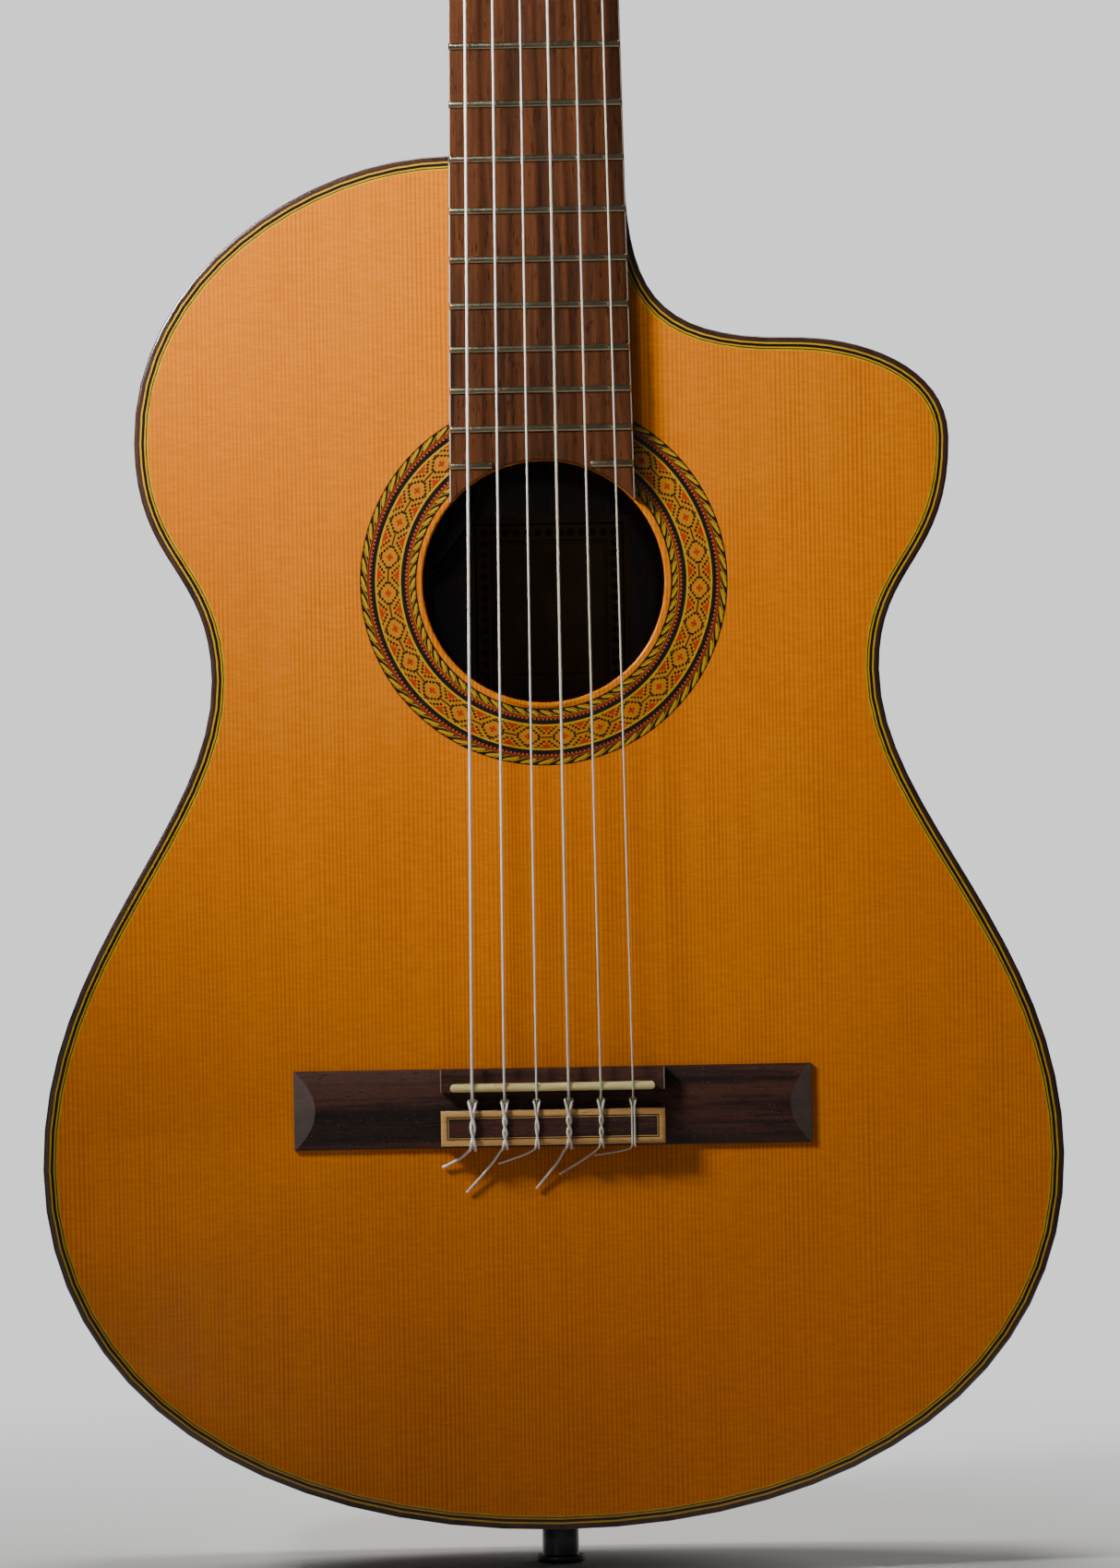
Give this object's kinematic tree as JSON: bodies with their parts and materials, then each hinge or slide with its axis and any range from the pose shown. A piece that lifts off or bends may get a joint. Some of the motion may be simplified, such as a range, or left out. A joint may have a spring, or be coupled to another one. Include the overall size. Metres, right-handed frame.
{
  "type": "classical guitar",
  "caption": "Cutaway electro-classical guitar with a slotted headstock, geared tuners, tied strings, a mosaic rosette and a side control panel.",
  "frame": {"origin": "centre of the output jack's bore at the tail of the body, in the middle of the body's depth", "axes": "+Z along the neck towards the head, +X towards the treble side and the cutaway, -Y out of the soundboard"},
  "size_m": [0.361, 0.1105, 1.0108],
  "materials": {
    "spruce_top": "gloss honey-coloured lacquer over vertical grain",
    "mosaic": "inlaid mosaic of dyed veneers under gloss lacquer",
    "spruce_raw": "plain planed spruce",
    "rosewood_body": "gloss lacquered dark rosewood",
    "rosewood_raw": "oiled dark rosewood",
    "yellow_lines": "yellow and black veneer lines",
    "mahogany": "satin reddish brown mahogany",
    "bone": "polished bone",
    "maple_trim": "light maple with dark lines",
    "label_paper": "aged paper",
    "fret_metal": "polished nickel silver",
    "gold_plate": "polished gold-coloured plate",
    "gear_brass": "cut brass",
    "steel": "bright steel",
    "pearl": "pearly white plastic",
    "nylon_roller": "ivory plastic",
    "black_plastic": "fine matt black",
    "black_rubber": "soft black cable jacket",
    "silver_wound": "silver-plated winding",
    "clear_nylon": "clear nylon",
    "pickup_metal": "shielded strip"
  },
  "bodies": {
    "root": {"soundboard": "spruce_top", "rosette": "mosaic", "braces": "spruce_raw", "linings": "spruce_raw", "back_plate": "rosewood_body", "side_bass": "rosewood_body", "side_treble": "rosewood_body", "bindings": "rosewood_raw", "top_purfling": "yellow_lines", "tail_block": "spruce_raw", "label": "label_paper", "bridge": "rosewood_raw", "saddle": "bone", "tie_block_trim": "maple_trim", "neck": "mahogany", "heel_cap": "rosewood_raw", "head_veneer": "rosewood_raw", "fingerboard": "rosewood_raw", "frets": "fret_metal", "nut": "bone", "tuner_plates": "gold_plate", "tuner_screws": "gold_plate", "preamp_panel": "black_plastic", "preamp_box": "black_plastic", "output_jack": "steel", "pickup": "pickup_metal", "wiring": "black_rubber", "string_1": "silver_wound", "string_2": "silver_wound", "string_3": "silver_wound", "string_4": "clear_nylon", "string_5": "clear_nylon", "string_6": "clear_nylon"},
    "button_1": {"button_1": "pearl", "worm_1": "steel"},
    "roller_1": {"roller_1": "nylon_roller", "gear_1": "gear_brass"},
    "button_2": {"button_2": "pearl", "worm_2": "steel"},
    "roller_2": {"roller_2": "nylon_roller", "gear_2": "gear_brass"},
    "button_3": {"button_3": "pearl", "worm_3": "steel"},
    "roller_3": {"roller_3": "nylon_roller", "gear_3": "gear_brass"},
    "button_4": {"button_4": "pearl", "worm_4": "steel"},
    "roller_4": {"roller_4": "nylon_roller", "gear_4": "gear_brass"},
    "button_5": {"button_5": "pearl", "worm_5": "steel"},
    "roller_5": {"roller_5": "nylon_roller", "gear_5": "gear_brass"},
    "button_6": {"button_6": "pearl", "worm_6": "steel"},
    "roller_6": {"roller_6": "nylon_roller", "gear_6": "gear_brass"},
    "volume_knob": {"volume_knob": "black_plastic"},
    "tone_knob": {"tone_knob": "black_plastic"},
    "battery_door": {"battery_door": "black_plastic"}
  },
  "joints": [
    {"name": "button_1_turn", "type": "hinge", "parent": "root", "child": "button_1", "pos_m": [-0.0409, -0.02714, 0.86711], "axis": [0, 0.9659, -0.2588], "continuous": true},
    {"name": "roller_1_turn", "type": "hinge", "parent": "root", "child": "roller_1", "pos_m": [0, -0.02933, 0.85892], "axis": [1, 0, 0], "continuous": true},
    {"name": "button_2_turn", "type": "hinge", "parent": "root", "child": "button_2", "pos_m": [-0.0409, -0.01808, 0.90091], "axis": [0, 0.9659, -0.2588], "continuous": true},
    {"name": "roller_2_turn", "type": "hinge", "parent": "root", "child": "roller_2", "pos_m": [0, -0.02027, 0.89273], "axis": [1, 0, 0], "continuous": true},
    {"name": "button_3_turn", "type": "hinge", "parent": "root", "child": "button_3", "pos_m": [-0.0409, -0.00902, 0.93472], "axis": [0, 0.9659, -0.2588], "continuous": true},
    {"name": "roller_3_turn", "type": "hinge", "parent": "root", "child": "roller_3", "pos_m": [0, -0.01121, 0.92654], "axis": [1, 0, 0], "continuous": true},
    {"name": "button_4_turn", "type": "hinge", "parent": "root", "child": "button_4", "pos_m": [0.0409, -0.00902, 0.93472], "axis": [0, 0.9659, -0.2588], "continuous": true},
    {"name": "roller_4_turn", "type": "hinge", "parent": "root", "child": "roller_4", "pos_m": [0, -0.01121, 0.92654], "axis": [1, 0, 0], "continuous": true},
    {"name": "button_5_turn", "type": "hinge", "parent": "root", "child": "button_5", "pos_m": [0.0409, -0.01808, 0.90091], "axis": [0, 0.9659, -0.2588], "continuous": true},
    {"name": "roller_5_turn", "type": "hinge", "parent": "root", "child": "roller_5", "pos_m": [0, -0.02027, 0.89273], "axis": [1, 0, 0], "continuous": true},
    {"name": "button_6_turn", "type": "hinge", "parent": "root", "child": "button_6", "pos_m": [0.0409, -0.02714, 0.86711], "axis": [0, 0.9659, -0.2588], "continuous": true},
    {"name": "roller_6_turn", "type": "hinge", "parent": "root", "child": "roller_6", "pos_m": [0, -0.02933, 0.85892], "axis": [1, 0, 0], "continuous": true},
    {"name": "volume_knob_turn", "type": "hinge", "parent": "root", "child": "volume_knob", "pos_m": [-0.08561, 0, 0.47216], "axis": [-0.4567, 0, 0.8896], "range_deg": [-135, 135]},
    {"name": "tone_knob_turn", "type": "hinge", "parent": "root", "child": "tone_knob", "pos_m": [-0.09916, 0, 0.46412], "axis": [-0.5629, 0, 0.8265], "range_deg": [-135, 135]},
    {"name": "battery_door_hinge", "type": "hinge", "parent": "root", "child": "battery_door", "pos_m": [-0.10964, 0, 0.45703], "axis": [0, 1, 0], "range_deg": [0, 95]}
  ],
  "couplings": [
    {"joint": "roller_1_turn", "follows": "button_1_turn", "ratio": -0.071429},
    {"joint": "roller_2_turn", "follows": "button_2_turn", "ratio": -0.071429},
    {"joint": "roller_3_turn", "follows": "button_3_turn", "ratio": -0.071429},
    {"joint": "roller_4_turn", "follows": "button_4_turn", "ratio": 0.071429},
    {"joint": "roller_5_turn", "follows": "button_5_turn", "ratio": 0.071429},
    {"joint": "roller_6_turn", "follows": "button_6_turn", "ratio": 0.071429}
  ]
}
